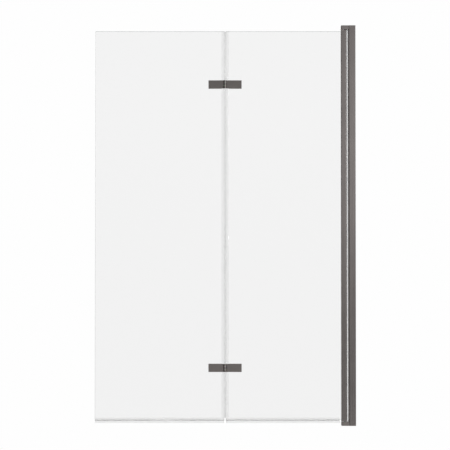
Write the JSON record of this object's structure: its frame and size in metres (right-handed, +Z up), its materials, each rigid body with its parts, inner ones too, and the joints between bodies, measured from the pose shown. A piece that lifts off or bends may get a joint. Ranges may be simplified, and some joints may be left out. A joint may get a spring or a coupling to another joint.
{
  "type": "folding bath screen",
  "caption": "Folding bath screen: clear glass panels joined by gunmetal clamp hinges, hung on a pivot profile beside a wall channel, with clear edge and drip seals.",
  "frame": {"origin": "on the wall face of the wall channel, at the middle of its width and at its bottom end, where the channel stands on the bath rim", "axes": "+X points into the wall, so the screen reaches along -X; +Y points to the bath side; +Z is up, along the channel"},
  "size_m": [0.911, 0.0312, 1.4],
  "materials": {
    "gunmetal_aluminium": "satin anodised gunmetal",
    "clear_glass": "polished toughened glass with ground edges",
    "clear_pvc": "clear extruded PVC",
    "frosted_pvc": "frosted soft PVC",
    "soft_gasket": "soft dark grey gasket",
    "acetal": "plain white acetal",
    "grey_plastic": "moulded cap in the colour of the metal",
    "stainless_steel": "stainless steel fasteners and pins"
  },
  "bodies": {
    "wall_channel": {"wall_profile": "gunmetal_aluminium", "fixing_screws": "stainless_steel", "clamp_nuts": "stainless_steel", "fixing_screw_caps": "grey_plastic"},
    "adjuster": {"adjusting_profile": "gunmetal_aluminium", "top_pivot_bracket": "gunmetal_aluminium", "bottom_pivot_bracket": "gunmetal_aluminium", "bracket_screws": "stainless_steel", "top_pivot_bush": "acetal", "bottom_pivot_bush": "acetal", "top_thrust_washer": "acetal", "bottom_thrust_washer": "acetal", "wall_seal": "frosted_pvc"},
    "inner_panel": {"pivot_profile": "gunmetal_aluminium", "top_end_plate": "gunmetal_aluminium", "bottom_end_plate": "gunmetal_aluminium", "end_plate_screws": "stainless_steel", "top_pivot_pin": "stainless_steel", "bottom_pivot_pin": "stainless_steel", "glazing_gasket": "soft_gasket", "inner_glass": "clear_glass", "inner_bottom_seal": "clear_pvc", "inner_edge_seal_lower": "clear_pvc", "inner_edge_seal_middle": "clear_pvc", "inner_edge_seal_upper": "clear_pvc", "upper_hinge_inner_leaf": "gunmetal_aluminium", "upper_hinge_inner_back_plate": "gunmetal_aluminium", "upper_hinge_inner_pads": "soft_gasket", "upper_hinge_pin": "stainless_steel", "upper_hinge_washers": "acetal", "lower_hinge_inner_leaf": "gunmetal_aluminium", "lower_hinge_inner_back_plate": "gunmetal_aluminium", "lower_hinge_inner_pads": "soft_gasket", "lower_hinge_pin": "stainless_steel", "lower_hinge_washers": "acetal", "inner_hinge_screws": "stainless_steel", "inner_hinge_sleeves": "acetal"},
    "outer_panel": {"outer_glass": "clear_glass", "outer_bottom_seal": "clear_pvc", "outer_edge_seal_lower": "clear_pvc", "outer_edge_seal_middle": "clear_pvc", "outer_edge_seal_upper": "clear_pvc", "upper_hinge_outer_leaf": "gunmetal_aluminium", "upper_hinge_outer_back_plate": "gunmetal_aluminium", "upper_hinge_outer_pads": "soft_gasket", "upper_hinge_bush": "acetal", "lower_hinge_outer_leaf": "gunmetal_aluminium", "lower_hinge_outer_back_plate": "gunmetal_aluminium", "lower_hinge_outer_pads": "soft_gasket", "lower_hinge_bush": "acetal", "outer_hinge_screws": "stainless_steel", "outer_hinge_sleeves": "acetal"}
  },
  "joints": [
    {"name": "wall_adjust", "type": "slide", "parent": "wall_channel", "child": "adjuster", "axis": [-1, 0, 0], "range_m": [0, 0.01]},
    {"name": "swing", "type": "hinge", "parent": "adjuster", "child": "inner_panel", "pos_m": [-0.043, 0, 0.7], "axis": [0, 0, -1], "range_deg": [0, 90]},
    {"name": "fold", "type": "hinge", "parent": "inner_panel", "child": "outer_panel", "pos_m": [-0.4565, -0.0095, 0.7], "axis": [0, 0, 1], "range_deg": [0, 180]}
  ]
}
